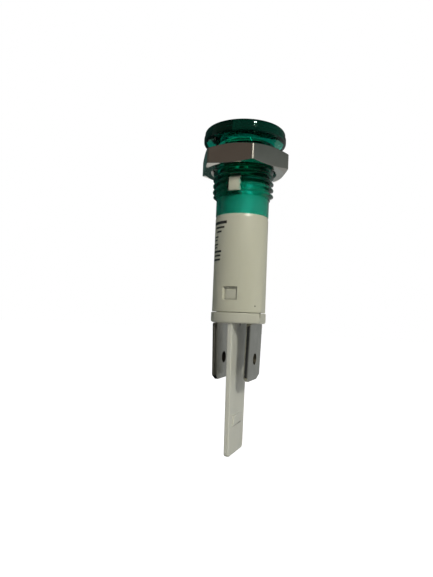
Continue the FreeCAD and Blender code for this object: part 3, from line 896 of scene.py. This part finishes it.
def folded_tab(side, seam_side):
    """A tab to the left (-1) or right (1), its seam at the back (1) or the front (-1)."""
    fold = -seam_side * TAB_SIDE
    seam = seam_side * TAB_SIDE
    seam_foot = seam_side * (TAB_SIDE - SEAM_DEPTH)
    half_gap = SEAM_GAP / 2
    section = [
        (-TAB_HALF, seam, LIP_ROUND), (-TAB_HALF, fold, FOLD_ROUND), (TAB_HALF, fold, FOLD_ROUND),
        (TAB_HALF, seam, LIP_ROUND), (half_gap, seam, 2 * LIP_ROUND), (half_gap, seam_foot, 0),
        (-half_gap, seam_foot, 0), (-half_gap, seam, 2 * LIP_ROUND)]
    strip = [(x, y, TAB_END - 0.2, rounding) for x, y, rounding in section]
    tab = extruded(strip, (0, 0, STRIP_LENGTH))
    outer, inner = TAB_SIDE + 0.01, TAB_SIDE - 0.9
    corner = TAB_END + TAB_CORNER
    trim = extruded([
        (-1, outer, TAB_TOP, 0.5), (-1, outer, corner, 0.2), (-1, inner, TAB_END, 0.2),
        (-1, -inner, TAB_END, 0.2), (-1, -outer, corner, 0.2), (-1, -outer, TAB_TOP, 0.5)],
        (2, 0, 0))
    tab = combine(tab, trim, "INTERSECT")
    for face in (-1, 1):
        wedge = extruded([
            (face * (TAB_HALF + 0.001), -4, TAB_END + COINED_LENGTH, 0),
            (face * (TAB_HALF - COINED_DEPTH), -4, TAB_END - 0.01, 0),
            (face * 1.2, -4, TAB_END - 0.01, 0), (face * 1.2, -4, TAB_END + COINED_LENGTH, 0)],
            (0, 8, 0))
        tab = combine(tab, wedge, "DIFFERENCE")
    punch = bmesh.new()
    bmesh.ops.create_cone(punch, cap_ends=True, segments=48, radius1=HOLE_RADIUS,
                          radius2=HOLE_RADIUS, depth=3)
    turn_by(punch, "Y", 90)
    bmesh.ops.translate(punch, verts=punch.verts, vec=(0, 0, TAB_END + HOLE_ABOVE_TIP))
    tab = combine(tab, punch, "DIFFERENCE")
    soften(tab, 0.06, 50, 2, wanted=further_out(TAB_HALF - 0.03))
    bmesh.ops.translate(tab, verts=tab.verts, vec=(0, 0, -TAB_TOP))
    turn_by(tab, "Y", side * TAB_LEAN)
    bmesh.ops.translate(tab, verts=tab.verts, vec=(side * TAB_PLACE, 0, TAB_TOP))
    low, high = sorted((side * (TAB_PLACE - TAB_HALF), side * (TAB_PLACE + TAB_HALF)))
    neck = soften(block((low, -0.55, -29.15), (high, 2.15, -27.4)), 0.05)
    low, high = sorted((side * (TAB_PLACE - TAB_HALF), side * TAB_PLACE))
    tail = block((low, -0.55, -27.5), (high, 0.6, -23.7))
    return combine(combine(tab, neck, "UNION"), tail, "UNION")


for side, hand in ((-1, "left"), (1, "right")):
    finished("tinned_tab_" + hand, folded_tab(side, side), finish_tin,
             ["tab_" + hand], smooth_angle=25, flat_area=0.4)

# %% [markdown]
# ## Light and room
# One lamp stands to the right of the camera and a little above, and a grey room fills the shade, less
# from the front than from behind, where the white paper is. The backdrop is white for the camera, for
# reflections and for light through the lens, so the white doesn't light the piece.

# %% World
FILL_FROM_FRONT = 0.17
FILL_FROM_BEHIND = 0.42

world = bpy.data.worlds.new("grey_room_white_backdrop")
scene.world = world
world.use_nodes = True
tree = world.node_tree
tree.nodes.clear()
output = add_node(tree, "ShaderNodeOutputWorld")


def sees_white(tree):
    """1 for the camera, for reflections and for light through the lens, and 0 for soft light."""
    path = add_node(tree, "ShaderNodeLightPath").outputs
    seen = calculate(tree, "ADD", path["Is Camera Ray"], path["Is Glossy Ray"])
    seen = calculate(tree, "ADD", seen, path["Is Transmission Ray"])
    seen.node.use_clamp = True
    return seen


way = add_node(tree, "ShaderNodeTexCoord").outputs["Generated"]
strength = add_node(tree, "ShaderNodeMapRange", {
    "From Min": -1.0, "From Max": 1.0, "To Min": FILL_FROM_FRONT, "To Max": FILL_FROM_BEHIND,
}, {"Value": split(tree, way)[1]}).outputs[0]
fill = add_node(tree, "ShaderNodeBackground", {"Color": linear("#f0f0f6")}, {"Strength": strength})
white = add_node(tree, "ShaderNodeBackground", {"Color": (1, 1, 1, 1), "Strength": 1.0})
cover(tree, output, "ShaderNodeMixShader", {}, {
    0: sees_white(tree), 1: fill.outputs[0], 2: white.outputs[0]})
print(world.name)

# %% Lamp
LAMP_AZIMUTH = -43.5
LAMP_ELEVATION = 35.0
LAMP_DISTANCE = 0.9
LAMP_SIZE = 0.135
LAMP_ENERGY = 5.2
LAMP_COLOUR = (1.0, 0.99, 0.9)
LAMP_AIM = (0, 0, -0.02)

azimuth, elevation = math.radians(LAMP_AZIMUTH), math.radians(LAMP_ELEVATION)
direction = Vector((math.cos(azimuth) * math.cos(elevation),
                    math.sin(azimuth) * math.cos(elevation), math.sin(elevation)))
lamp = bpy.data.objects.new("window_lamp", bpy.data.lights.new("window_lamp", "AREA"))
lamp.data.shape = "DISK"
lamp.data.size = LAMP_SIZE
lamp.data.energy = LAMP_ENERGY
lamp.data.color = LAMP_COLOUR
lamp.location = Vector(LAMP_AIM) + direction * LAMP_DISTANCE
lamp.rotation_euler = (-direction).to_track_quat("-Z", "Y").to_euler()
scene.collection.objects.link(lamp)
print("lamp at", [round(value, 3) for value in lamp.location])

# %% [markdown]
# ## Cards for the metal to show
# Bare metal shows whatever stands round it, and in an empty white room it looks like white paint. A
# product photographer stands dark cards round a piece for that reason. Here one bent card lies on the
# floor and stands up in front and to the right, brown and dark towards the front, grey to the right.
# A second one, in dark teal, stands behind to the left, and smaller ones lie on the floor behind and
# below or hang high up behind. The dark teal, behind to the left and on the floor behind and to the
# left, is a painted reflection of shade: it stands for the pilot light's own green-tinted shadow on
# the paper. Only reflections see the cards, and some of them show through the lens as well. A card
# glows in its own colours, so that the lamp doesn't change what the metal shows.

# %% What the cards are painted with
SHADED_ALONG = (0.9336, 0.3584, 0.0)


def to_the_right(tree, place):
    """How far a place lies to the right, as the camera sees it."""
    settings = {"operation": "DOT_PRODUCT", 1: SHADED_ALONG}
    return add_node(tree, "ShaderNodeVectorMath", settings, {0: place}).outputs["Value"]


def brown_and_grey(tree, place):
    """Dark and brown towards the front, grey to the right, and dark at the top."""
    right, back, up = split(tree, place)
    front_colour = blend(tree, threshold(tree, up, 0.04, 0.28), "#181b1e", "#5c554f")
    right_colour = blend(tree, threshold(tree, up, 0.16, 0.36), "#989b9a", "#5b6361")
    colour = blend(tree, threshold(tree, back, -0.55, 0.0), front_colour, right_colour)
    return blend(tree, threshold(tree, up, 0.5, 0.9), colour, "#1e2120")


# Painted reflection of shade: this dark teal stands for the pilot light's green-tinted shadow on the
# paper.
def mottled_teal(tree, place):
    """Dark teal in large soft clouds."""
    return blend(tree, noise(tree, place, 60.0, 2.0), "#2b4440", "#3b524e")


# Painted reflection of shade: the teal to the left stands for the pilot light's green-tinted shadow
# on the paper.
def teal_to_grey(tree, place):
    """Teal to the left and grey to the right, with the border along a ray from the piece."""
    settings = {"operation": "LENGTH"}
    reach = add_node(tree, "ShaderNodeVectorMath", settings, {0: place}).outputs["Value"]
    turn = calculate(tree, "DIVIDE", to_the_right(tree, place), reach)
    return blend(tree, threshold(tree, turn, -0.02, 0.07), "#253c39", "#989e9e")


def two_greys(tree, place):
    """A darker grey to the left and a lighter one to the right."""
    border = threshold(tree, to_the_right(tree, place), -0.1, 0.1)
    return blend(tree, border, "#7f8c88", "#adb5b3")


def card_finish(name, paint):
    """A card that glows in one colour, or in the colours that a function paints."""
    finish, tree, output, place = new_finish(name)
    settings = {"Strength": 1.0}
    if isinstance(paint, str):
        cover(tree, output, "ShaderNodeEmission", {"Color": linear(paint), **settings})
    else:
        cover(tree, output, "ShaderNodeEmission", settings, {"Color": paint(tree, place)})
    return finish


finish_card = card_finish("brown_and_grey_card", brown_and_grey)
finish_shade = card_finish("dark_teal_card", mottled_teal)
finish_low = card_finish("grey_to_teal_card_on_the_floor", teal_to_grey)
finish_pale = card_finish("pale_grey_card", "#cfd1cf")
finish_high = card_finish("grey_card_high_behind", two_greys)
finish_below = card_finish("dark_card_below", "#141617")
print(finish_card.name, finish_shade.name, finish_low.name, finish_pale.name, finish_high.name)

# %% Cards
CARD_REACH = 1.0
CARD_TOP = 1.1
CARD_NEAR = 0.09
PALE_REACH = 0.22
ROOF_EDGE = 0.02
HIGH_CARD_FOOT = 0.16
FLOOR_HEIGHT = -0.12
LYING = FLOOR_HEIGHT + 0.002
CARD_STEPS = 48
ROUND_CARD_RADIUS = 0.2
ROUND_CARD_PLACE = (0.039, -0.113, FLOOR_HEIGHT + 0.004)


def on_stage(name, bm, finish):
    """A sheet in metres that is not attached to a body of the model."""
    mesh = bpy.data.meshes.new(name)
    bm.to_mesh(mesh)
    bm.free()
    mesh.materials.append(finish)
    sheet = bpy.data.objects.new(name, mesh)
    scene.collection.objects.link(sheet)
    return sheet


def stage_card(name, bm, finish, through_lens=True):
    """A card that only reflections see, and light through the lens where that is wanted."""
    card = on_stage(name, bm, finish)
    card.visible_camera = False
    card.visible_diffuse = False
    card.visible_shadow = False
    card.visible_transmission = through_lens
    print(name, "faces", len(card.data.polygons))


def bent_card(name, first_azimuth, last_azimuth, profile, finish, through_lens=True):
    """A card with a profile of (distance, height), swept from one azimuth to another."""
    bm = bmesh.new()
    start = math.radians(first_azimuth)
    corners = [bm.verts.new((reach * math.cos(start), reach * math.sin(start), height))
               for reach, height in profile]
    for first, second in zip(corners, corners[1:]):
        bm.edges.new((first, second))
    bmesh.ops.spin(bm, geom=bm.verts[:] + bm.edges[:], cent=(0, 0, 0), axis=(0, 0, 1),
                   dvec=(0, 0, 0), angle=math.radians(last_azimuth - first_azimuth),
                   steps=CARD_STEPS)
    stage_card(name, bm, finish, through_lens)


bent_card("card_front_and_right", -175, 96, [
    (CARD_NEAR, LYING), (CARD_REACH, LYING), (CARD_REACH, CARD_TOP), (ROOF_EDGE, CARD_TOP)],
    finish_card)
bent_card("card_behind_left", 119, 185, [
    (CARD_REACH, LYING), (CARD_REACH, CARD_TOP), (ROOF_EDGE, CARD_TOP)], finish_shade, False)
bent_card("card_on_the_floor_left", 136, 185, [
    (CARD_NEAR, LYING), (CARD_REACH, LYING)], finish_shade, False)
bent_card("card_on_the_floor_behind", 96, 136, [
    (PALE_REACH, LYING), (CARD_REACH, LYING)], finish_low, False)
bent_card("card_near_behind", 96, 136, [(CARD_NEAR, LYING), (PALE_REACH, LYING)], finish_pale)
bent_card("card_high_behind", 96, 119, [
    (CARD_REACH, HIGH_CARD_FOOT), (CARD_REACH, CARD_TOP), (ROOF_EDGE, CARD_TOP)], finish_high)
round_card = bmesh.new()
bmesh.ops.create_circle(round_card, cap_ends=True, segments=CARD_STEPS, radius=ROUND_CARD_RADIUS)
bmesh.ops.translate(round_card, verts=round_card.verts, vec=ROUND_CARD_PLACE)
stage_card("card_below", round_card, finish_below)

# %% [markdown]
# ## The floor
# The floor is white paper below the piece. The paper takes light from the lamp and gives a little of
# it back. For the camera, for reflections and for light through the lens it also glows, so that it
# runs into the white backdrop without an edge.

# %% Floor
FLOOR_SIZE = 2.0
FLOOR_GLOW = 0.85

finish_floor, tree, output, place = new_finish("white_paper_floor")
paper = add_node(tree, "ShaderNodeBsdfDiffuse", {"Color": linear("#e8e8e8")})
glow = add_node(tree, "ShaderNodeEmission", {"Strength": FLOOR_GLOW})
none = add_node(tree, "ShaderNodeEmission", {"Strength": 0.0})
lift = add_node(tree, "ShaderNodeMixShader", {}, {
    0: sees_white(tree), 1: none.outputs[0], 2: glow.outputs[0]})
cover(tree, output, "ShaderNodeAddShader", {}, {0: paper.outputs[0], 1: lift.outputs[0]})
floor_shape = bmesh.new()
bmesh.ops.create_grid(floor_shape, x_segments=1, y_segments=1, size=FLOOR_SIZE)
bmesh.ops.translate(floor_shape, verts=floor_shape.verts, vec=(0, 0, FLOOR_HEIGHT))
floor = on_stage("pale_floor", floor_shape, finish_floor)
print(floor.name, "faces", len(floor.data.polygons))

# %% [markdown]
# ## The view
# The colours go to the picture as they are, so the white stays white.

# %% View settings
scene.view_settings.view_transform = "Standard"
